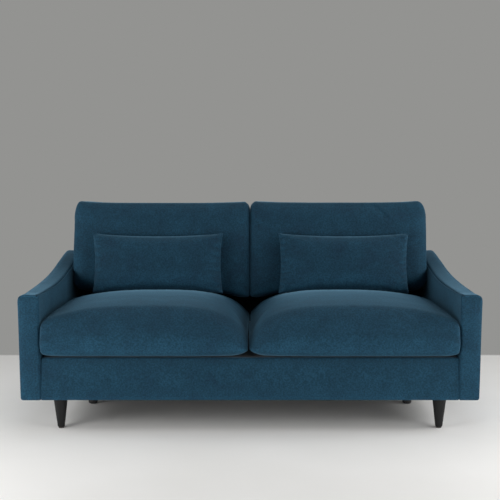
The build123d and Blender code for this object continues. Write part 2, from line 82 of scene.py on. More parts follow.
def linear(code: str) -> tuple[float, float, float, float]:
    """Turns an sRGB hex colour into a linear one.

    Args:
        code: Six hex digits.

    Returns:
        Red, green, blue and full alpha, linear.
    """
    parts = [int(code[i:i + 2], 16) / 255 for i in (0, 2, 4)]
    toned = [p / 12.92 if p <= 0.04045 else ((p + 0.055) / 1.055) ** 2.4 for p in parts]
    return (toned[0], toned[1], toned[2], 1.0)


def add_node(tree: Tree, kind: str, settings: dict | None = None,
             links: dict | None = None) -> bpy.types.Node:
    """Adds one shader node with its settings and links.

    Args:
        tree: Node tree that takes the node.
        kind: Blender's name of the node type, without the part that all of them share.
        settings: Attributes by lower-case name, and input values by socket name or number.
        links: Source sockets by the name or number of the input they feed.

    Returns:
        The new node.
    """
    node = tree.nodes.new("ShaderNode" + kind)
    for key, value in (settings or {}).items():
        if isinstance(key, str) and key[0].islower():
            setattr(node, key, value)
        else:
            node.inputs[key].default_value = value
    for key, source in (links or {}).items():
        tree.links.new(source, node.inputs[key])
    return node


def new_material(name: str) -> tuple[Material, Tree, Socket]:
    """Starts an empty node material.

    Args:
        name: Name of the material.

    Returns:
        The material, its node tree and the place in metres within the object.
    """
    material = bpy.data.materials.new(name)
    material.use_nodes = True
    tree = material.node_tree
    tree.nodes.clear()
    place = add_node(tree, "TexCoord").outputs["Object"]
    return material, tree, place


def close_material(tree: Tree, settings: dict, links: dict) -> None:
    """Ends a material with its surface shader.

    Args:
        tree: Node tree of the material.
        settings: Constant values of the surface shader.
        links: Sockets that feed the surface shader.
    """
    surface = add_node(tree, "BsdfPrincipled", settings, links)
    add_node(tree, "OutputMaterial", None, {"Surface": surface.outputs["BSDF"]})


def ramp(tree: Tree, source: Socket, stops: Stops) -> Socket:
    """Colours a value along a row of sRGB stops.

    Args:
        tree: Node tree of the material.
        source: Value from 0 to 1.
        stops: Positions and their hex colours.

    Returns:
        The colour socket.
    """
    node = add_node(tree, "ValToRGB", None, {"Fac": source})
    bar = node.color_ramp.elements
    while len(bar) < len(stops):
        bar.new(0.5)
    for element, (position, code) in zip(bar, stops):
        element.position = position
        element.color = linear(code)
    return node.outputs["Color"]


def noise(tree: Tree, place: Socket, size_mm: float, detail: float, roughness: float = 0.5,
          distortion: float = 0.0) -> Socket:
    """Adds cloudy noise.

    Args:
        tree: Node tree of the material.
        place: Place that the noise is read at.
        size_mm: Typical size of a patch in millimetres.
        detail: Number of finer layers.
        roughness: Strength of each finer layer.
        distortion: How far the patches are stirred.

    Returns:
        The value, from 0 to 1.
    """
    return add_node(tree, "TexNoise", {
        "Scale": 1 / (size_mm * MM), "Detail": detail, "Roughness": roughness, "Distortion": distortion,
    }, {"Vector": place}).outputs["Fac"]


def blend(tree: Tree, share: float, first: Socket, second: Socket) -> Socket:
    """Mixes two values, with a fixed share of the second."""
    return add_node(tree, "Mix", {"data_type": "FLOAT", 0: share},
                    {2: first, 3: second}).outputs[0]


def deepened(tree: Tree, colour: Socket, shade: Socket) -> Socket:
    """Multiplies a colour by a grey shade."""
    return add_node(tree, "Mix", {"data_type": "RGBA", "blend_type": "MULTIPLY", 0: 1.0},
                    {6: colour, 7: shade}).outputs[2]


def spread(tree: Tree, value: Socket, limits: Pair) -> Socket:
    """Spreads a value from 0 to 1 between two limits."""
    return add_node(tree, "MapRange", {"To Min": limits[0], "To Max": limits[1]},
                    {"Value": value}).outputs[0]


def bump(tree: Tree, height: Socket, strength: float, relief_mm: float,
         under: Socket | None = None) -> Socket:
    """Raises a pattern from the surface.

    Args:
        tree: Node tree of the material.
        height: Pattern from 0 to 1.
        strength: Strength of the relief.
        relief_mm: Height of the pattern in millimetres.
        under: Relief that this one lies on, if any.

    Returns:
        The surface direction.
    """
    links = {"Height": height}
    if under is not None:
        links["Normal"] = under
    return add_node(tree, "Bump", {"Strength": strength, "Distance": relief_mm * MM},
                    links).outputs["Normal"]


@dataclass(frozen=True)
class CutVelvet:
    """Short-pile cut velvet: the pile stands on end, so it is deep when faced and silvery at a glance."""

    name: str = "cut_velvet_deep_blue"
    shade: str = "1a3a4f"
    body: str = "1f455a"
    crest: str = "254e65"
    rubbed: str = "30536a"
    sheen_tint: str = "7fb0cc"
    sheen: float = 0.42
    roughness: Pair = (0.78, 0.95)
    tuft_mm: float = 6.0
    brushed_mm: float = 70.0
    broad_mm: float = 420.0
    pile: Stops = ((0.36, "cbcbcb"), (0.64, "ffffff"))
    # Painted shade by facing: grey stops over the upward turn of the surface, from facing down to facing
    # up.
    painted_facing_shade: Stops = (
        (0.36, "ffffff"), (0.49, "f3f3f3"), (0.54, "dedede"), (0.6, "dadada"), (0.75, "dadada"),
        (0.92, "e2e2e2"),
    )

    def material(self) -> Material:
        """Makes the velvet: brushed patches in the colour, pile in the bump, sheen on the shader.

        Returns:
            The material.
        """
        material, tree, place = new_material(self.name)
        # Patches where a hand has brushed the pile one way or the other.
        brushed = noise(tree, place, self.brushed_mm, 3.0, 0.55, 0.4)
        broad = noise(tree, place, self.broad_mm, 1.0)
        # Tufts are under 1 mm on the real cloth and are drawn at 6 mm so that they show.
        tuft = noise(tree, place, self.tuft_mm, 2.0, 0.6)
        stroked = ramp(tree, blend(tree, 0.3, brushed, broad),
                       ((0.25, self.shade), (0.5, self.body), (0.75, self.crest)))
        grained = deepened(tree, stroked, ramp(tree, tuft, self.pile))
        # Painted shade: the colour is darkened by how far a face turns upwards, so slopes that look up are
        # a little deeper than upright faces, and faces that look down stay lightest.
        surface = add_node(tree, "NewGeometry")
        upward = add_node(tree, "SeparateXYZ", None, {0: surface.outputs["Normal"]}).outputs["Z"]
        share = add_node(tree, "MapRange", {"From Min": -1.0, "From Max": 1.0}, {"Value": upward})
        facing_shaded = deepened(tree, grained, ramp(tree, share.outputs[0], self.painted_facing_shade))
        # Seams and corners are rubbed, so the pile there is thin and a little paler.
        edge = ramp(tree, surface.outputs["Pointiness"], ((0.5, "000000"), (0.6, "ffffff")))
        part = add_node(tree, "Math", {"operation": "MULTIPLY", 1: 0.35}, {0: edge})
        worn = add_node(tree, "Mix", {"data_type": "RGBA", 7: linear(self.rubbed)},
                        {0: part.outputs[0], 6: facing_shaded})
        relief = bump(tree, brushed, 0.25, 4.0, bump(tree, tuft, 0.28, 0.9))
        close_material(tree, {
            "IOR": 1.46, "Specular IOR Level": 0.15, "Sheen Weight": self.sheen, "Sheen Roughness": 0.35,
            "Sheen Tint": linear(self.sheen_tint),
        }, {
            "Base Color": worn.outputs[2], "Roughness": spread(tree, brushed, self.roughness),
            "Normal": relief,
        })
        return material


@dataclass(frozen=True)
class WovenCloth:
    """Plain woven cloth: threads cross over and under, so the eye sees a fine even check."""

    name: str
    dark: str
    pale: str
    thread_mm: float
    roughness: float = 0.85
    slub_mm: float = 16.667

    def material(self) -> Material:
        """Makes the cloth from two crossed rows of threads and slubs along them.

        Returns:
            The material.
        """
        material, tree, place = new_material(self.name)
        rows = [add_node(tree, "TexWave", {
            "bands_direction": direction, "Scale": WAVE_BAND / (self.thread_mm * MM) / 2,
            "Distortion": 0.6, "Detail": 2.0, "Detail Scale": 1.5,
        }, {"Vector": place}).outputs["Fac"] for direction in ("X", "Y")]
        weave = blend(tree, 0.5, *rows)
        shade = blend(tree, 0.45, weave, noise(tree, place, self.slub_mm, 4.0))
        close_material(tree, {"Roughness": self.roughness, "IOR": 1.5, "Sheen Weight": 0.1}, {
            "Base Color": ramp(tree, shade, ((0.3, self.dark), (0.7, self.pale))),
            "Normal": bump(tree, weave, 0.4, 0.6),
        })
        return material


@dataclass(frozen=True)
class GrainedWood:
    """Planed or turned wood: pores and growth rings run along the length as fine darker streaks."""

    name: str
    dark: str
    body: str
    pale: str
    along: Place
    grain_mm: float = 4.0
    roughness: Pair = (0.4, 0.55)
    coat: float = 0.0
    gloss: float = 0.5
    ring_mm: float = 22.4286

    def material(self) -> Material:
        """Makes the wood from streaks drawn out along its length and rings across it.

        Returns:
            The material.
        """
        material, tree, place = new_material(self.name)
        drawn = add_node(tree, "Mapping", {"Scale": self.along},
                         {"Vector": place}).outputs["Vector"]
        streak = noise(tree, drawn, self.grain_mm, 5.0, 0.62, 0.3)
        ring = add_node(tree, "TexWave", {
            "wave_type": "RINGS", "rings_direction": "Y", "Scale": WAVE_BAND / (self.ring_mm * MM),
            "Distortion": 3.5, "Detail": 3.0,
        }, {"Vector": drawn}).outputs["Fac"]
        colour = ramp(tree, blend(tree, 0.35, streak, ring),
                      ((0.3, self.dark), (0.52, self.body), (0.75, self.pale)))
        close_material(tree, {
            "IOR": 1.5, "Specular IOR Level": self.gloss, "Coat Weight": self.coat, "Coat Roughness": 0.22,
        }, {
            "Base Color": colour, "Roughness": spread(tree, streak, self.roughness),
            "Normal": bump(tree, streak, 0.2, 0.4),
        })
        return material


@dataclass(frozen=True)
class DrawnSteel:
    """Drawn or plated steel: a grey metal with fine draw lines and dull patches."""

    name: str
    dark: str
    pale: str
    roughness: Pair
    cloud_mm: float = 11.111
    scratch_mm: float = 0.7143

    def material(self) -> Material:
        """Makes the metal from a cloudy tone and a fine scratch.

        Returns:
            The material.
        """
        material, tree, place = new_material(self.name)
        cloud = noise(tree, place, self.cloud_mm, 4.0)
        scratch = noise(tree, place, self.scratch_mm, 1.0)
        close_material(tree, {"Metallic": 1.0}, {
            "Base Color": ramp(tree, cloud, ((0.35, self.dark), (0.65, self.pale))),
            "Roughness": spread(tree, cloud, self.roughness), "Normal": bump(tree, scratch, 0.1, 0.2),
        })
        return material


@dataclass(frozen=True)
class FineGrit:
    """Moulded, pressed or foamed stuff: an even tone broken by cells, fibres or a spark-worn mould skin."""

    name: str
    dark: str
    pale: str
    grit_mm: float
    roughness: Pair
    relief: float
    ior: float = 1.5
    cloud_mm: float = 40.0

    def material(self) -> Material:
        """Makes the stuff from its grit in colour, roughness and bump.

        Returns:
            The material.
        """
        material, tree, place = new_material(self.name)
        grit = noise(tree, place, self.grit_mm, 3.0, 0.65)
        tone = blend(tree, 0.5, grit, noise(tree, place, self.cloud_mm, 2.0))
        close_material(tree, {"IOR": self.ior}, {
            "Base Color": ramp(tree, tone, ((0.35, self.dark), (0.65, self.pale))),
            "Roughness": spread(tree, grit, self.roughness), "Normal": bump(tree, grit, self.relief, 0.6),
        })
        return material


def make_finishes() -> dict[str, Material]:
    """Makes every finish of the sofa.

    Returns:
        One material for each slot of the record.
    """
    foam_roughness = (0.85, 0.95)
    recipes = {
        "velvet": CutVelvet(),
        "platform_cloth": WovenCloth("platform_cloth_plain_weave", "23303a", "31414d", 1.6),
        "dust_cloth": WovenCloth("spunbond_dust_cloth_black", "141416", "222326", 1.2, 0.9),
        "webbing": WovenCloth("elastic_webbing_tan", "7d684c", "a58f6d", 2.5),
        "foam_padding": FineGrit("polyether_foam_sheet", "c9bd9d", "ddd2b3", 2.0, foam_roughness, 0.5),
        "foam_filling": FineGrit("moulded_foam_core", "c7c2b4", "dedacb", 2.4, foam_roughness, 0.5),
        "leg_wood": GrainedWood("beech_turned_dark_stain", "040404", "070809", "0f1011",
                                (1.0, 1.0, 0.07), 3.0, (0.45, 0.6), 0.04, 0.3),
        "frame_timber": GrainedWood("pine_planed_timber", "a57f50", "c6a06c", "d9ba8a",
                                    (0.06, 1.0, 1.0), 5.0),
        "plywood": GrainedWood("birch_plywood_sanded", "b3925f", "cdae7c", "dec699",
                               (1.0, 0.07, 1.0), 5.0),
        "spring_steel": DrawnSteel("drawn_spring_steel", "4b4d50", "7b7d80", (0.3, 0.45)),
        "zinc_steel": DrawnSteel("zinc_plated_steel", "8f9294", "b9bbb8", (0.28, 0.42)),
        "black_plastic": FineGrit("moulded_polypropylene_black", "0d0d0e", "17171a", 1.2,
                                  (0.42, 0.58), 0.25, 1.49),
        "glide_felt": FineGrit("pressed_wool_felt", "1f1d1b", "39352f", 1.5, (0.9, 0.98), 0.7),
    }
    return {slot: recipe.material() for slot, recipe in recipes.items()}


@dataclass
class Lattice:
    """Closed quad lattice over a box, with places from -1 to 1 on each axis."""

    points: Array
    quads: Quads

    @classmethod
    def over(cls, half: Sequence[float], spacing: float,
             extra: Sequence[Sequence[float]] = ((), (), ())) -> "Lattice":
        """Covers a box with squares of about one size.

        Args:
            half: Half sizes of the box on its three axes.
            spacing: Wanted side of a square, in the same unit.
            extra: Further lines on each axis, from -1 to 1, where a seam needs them.

        Returns:
            The lattice.
        """
        lines = []
        for size, more in zip(half, extra):
            even = np.linspace(-1.0, 1.0, max(2, round(2 * size / spacing)) + 1)
            near = spacing / size * 0.3
            kept = [t for t in even if abs(t) == 1.0 or all(abs(t - m) > near for m in more)]
            lines.append(np.array(sorted([*kept, *more])))
        counts = [len(line) - 1 for line in lines]
        index: dict[tuple[int, int, int], int] = {}
        quads = []
        for axis in range(3):
            across, along = (axis + 1) % 3, (axis + 2) % 3
            for end in (0, counts[axis]):
                for i in range(counts[across]):
                    for j in range(counts[along]):
                        corners = []
                        for step_i, step_j in ((0, 0), (1, 0), (1, 1), (0, 1)):
                            key = [0, 0, 0]
                            key[axis], key[across], key[along] = end, i + step_i, j + step_j
                            corners.append(index.setdefault(tuple(key), len(index)))
                        quads.append(corners if end else corners[::-1])
        places = np.array(list(index))
        points = np.stack([line[places[:, axis]] for axis, line in enumerate(lines)], axis=1)
        return cls(points, quads)

    def rounded(self, half: Sequence[float], radii: Array) -> Array:
        """Places the lattice on a box with rounded edges.

        Args:
            half: Half sizes of the box.
            radii: Rounding on the three axes at each point.

        Returns:
            The points.
        """
        half = np.asarray(half, dtype=float)
        radii = np.minimum(radii, half * 0.999)
        spot = self.points * half
        inner = np.clip(spot, radii - half, half - radii)
        reach = (spot - inner) / radii
        length = np.linalg.norm(reach, axis=1, keepdims=True)
        return inner + radii * reach / np.maximum(length, 1e-9)

    def faces(self, mirrored: bool) -> Quads:
        """Faces that look outwards, also on a piece whose points are mirrored."""
        return [quad[::-1] for quad in self.quads] if mirrored else self.quads


def ease(value: Array, low: float, high: float) -> Array:
    """Smooth step of a value from 0 at low to 1 at high."""
    part = np.clip((value - low) / (high - low), 0.0, 1.0)
    return part * part * (3 - 2 * part)


def ripple(x: Array, y: Array, seed: int, wavelength: float, waves: int = 7) -> Array:
    """Gentle unevenness from a few seeded waves.

    Args:
        x: First coordinate.
        y: Second coordinate, in the same unit.
        seed: Seed of the waves.
        wavelength: Typical length of a wave.
        waves: Number of waves.

    Returns:
        Values of about -1 to 1.
    """
    dice = np.random.default_rng(seed)
    total = np.zeros_like(x)
    for _ in range(waves):
        angle = dice.uniform(0, math.tau)
        wave = math.tau / (wavelength * dice.uniform(0.7, 1.6))
        total += np.sin(wave * (x * math.cos(angle) + y * math.sin(angle)) + dice.uniform(0, math.tau))
    return 2 * total / waves


class Lean:
    """Frame of the leaning back: across, up along the lean, and out towards the front, in millimetres."""

    origin = np.array([0.0, 335.0, 289.0])
    angle = math.radians(8.0)
    up = np.array([0.0, math.sin(angle), math.cos(angle)])
    out = np.array([0.0, -math.cos(angle), math.sin(angle)])

    @classmethod
    def place(cls, across: Array, rise: Array, proud: Array) -> Array:
        """Points of the sofa from places in the leaning frame."""
        sideways = np.outer(across, (1.0, 0.0, 0.0))
        return cls.origin + sideways + np.outer(rise, cls.up) + np.outer(proud, cls.out)

    @classmethod
    def local(cls, points: Array) -> tuple[Array, Array, Array]:
        """Across, rise and proud of the sofa's points."""
        moved = points - cls.origin
        return moved[:, 0], moved @ cls.up, moved @ cls.out


@dataclass
class Workshop:
    """Makes the pieces, hands them their finish and hides the nodes of the frame that each stands for."""

    finishes: dict[str, Material]

    def mesh(self, name: str, points: Array, quads: Quads, slot: str) -> Piece:
        """Makes one smooth mesh piece.

        Args:
            name: Name of the piece.
            points: Its points in millimetres.
            quads: Its faces.
            slot: Slot of the record that gives its finish.

        Returns:
            The piece, in the scene.
        """
        mesh = bpy.data.meshes.new(name)
        mesh.from_pydata((points * MM).tolist(), [], quads)
        mesh.polygons.foreach_set("use_smooth", [True] * len(mesh.polygons))
        mesh.materials.append(self.finishes[slot])
        mesh.update()
        piece = bpy.data.objects.new(name, mesh)
        bpy.context.scene.collection.objects.link(piece)
        return piece

    def settle(self, piece: Piece, body: str, nodes: Sequence[str], fill: float | None = None) -> None:
        """Puts a finished piece on its body in place of its nodes.

        Args:
            piece: The piece.
            body: Body that carries it.
            nodes: Nodes that it stands for.
            fill: How full a padded piece is, or None for a plain sheet.
        """
        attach(piece, body)
        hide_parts(*nodes)
        if fill is not None:
            smooth = piece.modifiers.new("rounding", "SUBSURF")
            smooth.levels = 1
            smooth.render_levels = 1
        LOG.info("piece %s on %s, %d faces", piece.name, body, len(piece.data.polygons))

    def dress_nodes(self) -> None:
        """Gives each node of the frame the finish of its slot."""
        for row in frame["record"]["subparts"]:
            node = frame["nodes"][row["node"]]
            material = self.finishes[row["material_slot"]]
            for holder in node.material_slots:
                holder.material = material


def read_points(mesh: bpy.types.Mesh) -> Array:
    """Reads the points of a mesh.

    Args:
        mesh: The mesh.

    Returns:
        Its points in millimetres.
    """
    flat = np.empty(len(mesh.vertices) * 3)
    mesh.vertices.foreach_get("co", flat)
    return flat.reshape(-1, 3) / MM


@dataclass
class Arm:
    """One upholstered arm: a thin slab with a scooped top, a rolled front and a sewn inner top seam."""

    side: Side
    shop: Workshop
    inner: float = 795.0
    outer: float = 870.0
    front: float = -442.0
    rear: float = 460.0
    bottom: float = 126.0
    front_top: float = 525.0
    sweep_start: float = -180.0
    sweep_radius: float = 2300.0
    sweep_angle: float = 10.5
    spacing: float = 11.0
    front_rise: float = 6.0
    rear_rise: float = 8.0
    inner_dip: float = 3.0
    seam_depth: float = 6.5
    seam_inset: float = 6.5
    lip_height: float = 1.5
    lip_inset: float = 1.5
    front_seam_depth: float = 4.0
    front_seam_drop: float = 8.0
    seam_lines: tuple[float, ...] = (2.0, 4.0, 6.0, 8.0, 11.0)
    crest_line: Line = (
        (-442.0, 0.0), (-300.0, 4.0), (-64.0, 10.0), (260.0, 14.0), (423.0, 5.0), (460.0, 3.0),
    )

    def top(self, y: Array) -> Array:
        """Works out the height of the arm's top along its length.

        Args:
            y: Places from front to rear.

        Returns:
            The heights there.
        """
        angle = math.radians(self.sweep_angle)
        run = self.sweep_radius * math.sin(angle)
        along = y - self.sweep_start
        square = self.sweep_radius ** 2 - np.clip(along, 0, run) ** 2
        curve = self.sweep_radius - np.sqrt(np.maximum(square, 0))
        straight = np.maximum(along - run, 0) * math.tan(angle)
        return self.front_top + curve + straight

    def build(self) -> None:
        """Makes the arm's cover."""
        half = np.array([self.outer - self.inner, self.rear - self.front, self.front_top - self.bottom]) / 2
        steps = np.array(self.seam_lines)
        extra = (-1 + steps / half[0], -1 + steps / half[1], 1 - steps / half[2])
        lattice = Lattice.over(half, self.spacing, extra)
        a, b, c = lattice.points.T
        outer = ease(a, -0.5, 0.5)
        upper = ease(c, -0.6, 0.6)
        fore = ease(-b, 0.9, 1.0) * (1 - ease(c, 0.8, 0.96))
        # The rounding grows towards the top's outer edge and its rear, and the inner edge stays crisp.
        radius = 3.0 + (0.5 + 19.0 * outer) * upper + 7.0 * fore * (1 - outer)
        rearward = ease(b, -0.4, 0.4)
        depth = 4.0 + (3.0 + 7.0 * rearward) * upper + 5.0 * fore
        height = 3.0 + rearward + ((3.0 + 16.0 * outer) * (1 - rearward) + 30.0 * rearward) * upper
        spot = lattice.rounded(half, np.stack([radius, depth, height], axis=1))
        x = (self.inner + self.outer) / 2 + spot[:, 0]
        y = (self.front + self.rear) / 2 + spot[:, 1]
        share = (spot[:, 2] + half[2]) / (2 * half[2])
        z = self.bottom + share * (self.top(y) - self.bottom)
        below_top = (1 - share) * 2 * half[2]
        in_from_inner = x - self.inner
        # The padding of the top stands a little proud over the front edge and at the rear.
        proud = self.front_rise * ease(-y, 330.0, 436.0) + self.rear_rise * ease(y, 240.0, 420.0)
        z += proud * ease(share, 0.9, 1.0)
        # Along the sweep the top falls towards the seat: the outer edge stands higher, the inner one lower.
        crest = np.interp(y, *np.array(self.crest_line).T)
        dip = self.inner_dip * ease(y, -380.0, 0.0)
        z += (crest * (a + 1) / 2 - dip * (1 - a) / 2) * ease(share, 0.7, 1.0)
        # The outer panel stands off the board, more towards the top, and both panels swell in the middle.
        x += (a + 1) / 2 * (3.0 + 4.5 * share)
        belly = (1 - a ** 2) * (1 - (2 * share - 1) ** 4)
        y -= np.where(b < -0.999, 2.0 * belly, 0.0)
        x += np.where(a > 0.999, 1.5 * (1 - b ** 4) * (1 - c ** 4), 0.0)
        # Sewn lines: along the inner top edge, and across the front just under its top edge.
        top_skin = ease(share, 0.97, 0.995)
        z -= self.seam_depth * np.exp(-((in_from_inner - self.seam_inset) / 2.6) ** 2) * top_skin
        z += self.lip_height * np.exp(-((in_from_inner - self.lip_inset) / 3.0) ** 2) * top_skin
        groove = self.front_seam_depth * np.exp(-((below_top - self.front_seam_drop) / 2.8) ** 2)
        y += np.where(b < -0.97, groove, 0.0)
        points = np.stack([self.side.value * x, y, z], axis=1)
        quads = lattice.faces(self.side is Side.LEFT)
        word = self.side.word
        piece = self.shop.mesh(f"{word}_arm_velvet", points, quads, "velvet")
        self.shop.settle(piece, "frame", [f"{word}_arm_cover", f"{word}_arm_pad"], 0.8)


@dataclass
class Panel:
    """A padded velvet panel of the frame between two corners, in millimetres."""

    name: str
    nodes: tuple[str, ...]
    low: Place
    high: Place
    radius: float
    low_radius: float
    belly: float
    lean_front: float
    shop: Workshop
    spacing: float = 14.0
    tight: float = 2.0
    seed: int = 3

    def build(self) -> None:
        """Makes the panel, with its front swelling a little and leaning back."""
        low, high = np.array(self.low), np.array(self.high)
        half = (high - low) / 2
        crisp = [(-1 + self.tight / size, 1 - self.tight / size) for size in half]
        lattice = Lattice.over(half, self.spacing, crisp)
        a, b, c = lattice.points.T
        radii = np.full_like(lattice.points, self.tight)
        radii[:, 1:] = np.where(b < 0, np.where(c > 0, self.radius, self.low_radius), self.tight)[:, None]
        spot = lattice.rounded(half, radii) + (low + high) / 2
        uneven = 1 + 0.25 * ripple(spot[:, 0], spot[:, 2], self.seed, 180.0)
        swell = self.belly * (1 - a ** 6) * (1 - c ** 4) * uneven
        spot[:, 1] -= np.where(b < -0.999, swell, 0.0)
        # The front line leans back with height, and the rear line stays upright.
        share = (high[1] - spot[:, 1]) / (high[1] - low[1])
        spot[:, 1] += share * (spot[:, 2] - low[2]) * math.tan(math.radians(self.lean_front))
        piece = self.shop.mesh(self.name, spot, lattice.quads, "velvet")
        self.shop.settle(piece, "frame", self.nodes, 0.9)


def node_box(name: str) -> tuple[Array, Array]:
    """Finds the box of one node of the frame.

    Args:
        name: Name of the node.

    Returns:
        Its low and high corners in millimetres.
    """
    node = frame["nodes"][name]
    corners = np.array([node.matrix_world @ Vector(corner) for corner in node.bound_box]) / MM
    return corners.min(axis=0), corners.max(axis=0)


@dataclass
class SeatDeck:
    """Felt deck under platform cloth: it sinks a little between one seat spring and the next."""

    shop: Workshop
    spacing: float = 14.0
    edge_round: float = 3.0
    dip: float = 2.4
    spring_step: float = 120.0
    seed: int = 17

    def build(self) -> None:
        """Makes the deck over the springs."""
        low, high = node_box("seat_deck")
        half = (high - low) / 2
        lattice = Lattice.over(half, self.spacing)
        spot = lattice.rounded(half, np.full_like(lattice.points, self.edge_round)) + (low + high) / 2
        between = (1 + np.cos(math.tau * spot[:, 0] / self.spring_step)) / 2
        uneven = np.clip(0.5 + 0.5 * ripple(spot[:, 0], spot[:, 1], self.seed, 260.0), 0.0, 1.0)
        upper = lattice.points[:, 2] > 0.99
        spot[:, 2] -= np.where(upper, self.dip * (0.6 * between + 0.4 * uneven), 0.0)
        piece = self.shop.mesh("seat_deck_platform_cloth", spot, lattice.quads, "platform_cloth")
        self.shop.settle(piece, "frame", ["seat_deck"], 0.7)


@dataclass
class StapledSheet:
    """A sheet of cloth stapled along its edges: a turned hem all round and a little slack between."""

    name: str
    node: str
    normal: int
    slack: float
    slot: str
    rests_on: tuple[str, ...]
    shop: Workshop
    hem: float = 16.0
    fold: float = 0.5
    cloth: float = 1.0
    spacing: float = 18.0
    seed: int = 21

    def lines(self, size: float) -> Array:
        """Places the grid's lines along one side, with closer ones at the hems.

        Args:
            size: Length of the side.

        Returns:
            The places of the lines.
        """
        even = np.linspace(0.0, size, round(size / self.spacing) + 1)
        turned = np.array([self.hem - 2.0, self.hem + 2.0])
        inside = even[(even > self.hem + 8.0) & (even < size - self.hem - 8.0)]
        return np.concatenate([[0.0], turned, inside, size - turned[::-1], [size]])

    def build(self) -> None:
        """Makes the sheet in the middle of its node's thickness."""
        low, high = node_box(self.node)
        first, second = [axis for axis in range(3) if axis != self.normal]
        size = high - low
        grid = np.meshgrid(self.lines(size[first]), self.lines(size[second]), indexing="ij")
        u, v = (side.ravel() for side in grid)
        points = np.empty((u.size, 3))
        points[:, first], points[:, second] = low[first] + u, low[second] + v
        belly = np.sin(math.pi * u / size[first]) * np.sin(math.pi * v / size[second])
        uneven = 1 + 0.35 * ripple(u, v, self.seed, 300.0)
        edge = np.minimum(np.minimum(u, size[first] - u), np.minimum(v, size[second] - v))
        inside = ease(edge, self.hem - 2.0, self.hem + 2.0)
        middle = (low[self.normal] + high[self.normal]) / 2
        points[:, self.normal] = middle + self.slack * np.maximum(belly, 0.0) ** 0.7 * uneven * inside
        points[:, self.normal] += np.sign(self.slack) * self.fold * (1 - inside)
        rows, columns = grid[0].shape
        quads = [[i * columns + j, (i + 1) * columns + j, (i + 1) * columns + j + 1, i * columns + j + 1]
                 for i in range(rows - 1) for j in range(columns - 1)]
        piece = self.shop.mesh(self.name, points, quads, self.slot)
        shell = piece.modifiers.new("cloth", "SOLIDIFY")
        shell.thickness = self.cloth * MM
        shell.offset = 0.0
        self.shop.settle(piece, "frame", [self.node])


def stretched(values: Array, low: float, high: float) -> Array:
    """Values scaled so that they run from low to high."""
    return low + (values - values.min()) * (high - low) / (values.max() - values.min())


@dataclass
class Cushion(ABC):
    """A loose cushion of one side: a sewn velvet cover that is filled and then put on its own body."""

    side: Side
    shop: Workshop
    kind: str = "cushion"
    fullness: float = 0.8
    pressure: float = 4.0
    cap: float = 6.0
    cover: Piece | None = None

    @abstractmethod
    def build(self) -> None:
        """Makes the cover before it is filled."""

    @abstractmethod
    def fit(self, points: Array) -> Array:
        """Seats the filled cushion on what carries it."""

    def sew(self, points: Array, quads: Quads) -> None:
        """Sews the cover from its points in millimetres and its faces."""
        self.cover = self.shop.mesh(f"{self.side.word}_{self.kind}_velvet", points, quads, "velvet")

    def settle(self) -> None:
        """Puts the filled cushion on its body."""
        body = f"{self.side.word}_{self.kind}"
        self.shop.settle(self.cover, body, [f"{body}_cover", f"{body}_fill"], self.fullness)


def fill_cushions(cushions: Sequence[Cushion], steps: int = 20) -> None:
    """Swells the sewn covers with cloth simulation, then seats each on what carries it.

    Args:
        cushions: The cushions, with their pressure and how far a point may move.
        steps: Number of steps of the simulation.
    """
    scene = bpy.context.scene
    swollen = {}
    for cushion in cushions:
        cloth = cushion.cover.modifiers.new("filling", "CLOTH")
        cloth.settings.quality = 5
        cloth.settings.mass = 0.3
        cloth.settings.use_pressure = True
        cloth.settings.uniform_pressure_force = cushion.pressure
        cloth.settings.tension_stiffness = 15
        cloth.settings.compression_stiffness = 15
        cloth.settings.bending_stiffness = 0.5
        cloth.settings.effector_weights.gravity = 0
        cloth.point_cache.frame_end = steps
    for step in range(1, steps + 1):
        scene.frame_set(step)
    graph = bpy.context.evaluated_depsgraph_get()
    for cushion in cushions:
        swollen[cushion.cover.name] = read_points(cushion.cover.evaluated_get(graph).data)
    for cushion in cushions:
        cover = cushion.cover
        start = read_points(cover.data)
        move = swollen.get(cover.name, start) - start
        length = np.linalg.norm(move, axis=1, keepdims=True)
        move *= np.minimum(1.0, cushion.cap / np.maximum(length, 1e-9))
        LOG.info("filling %s: largest move %.1f mm", cover.name, float(length.max()))
        for modifier in list(cover.modifiers):
            cover.modifiers.remove(modifier)
        cover.data.vertices.foreach_set("co", (cushion.fit(start + move) * MM).ravel())
        cover.data.update()
    scene.frame_set(1)


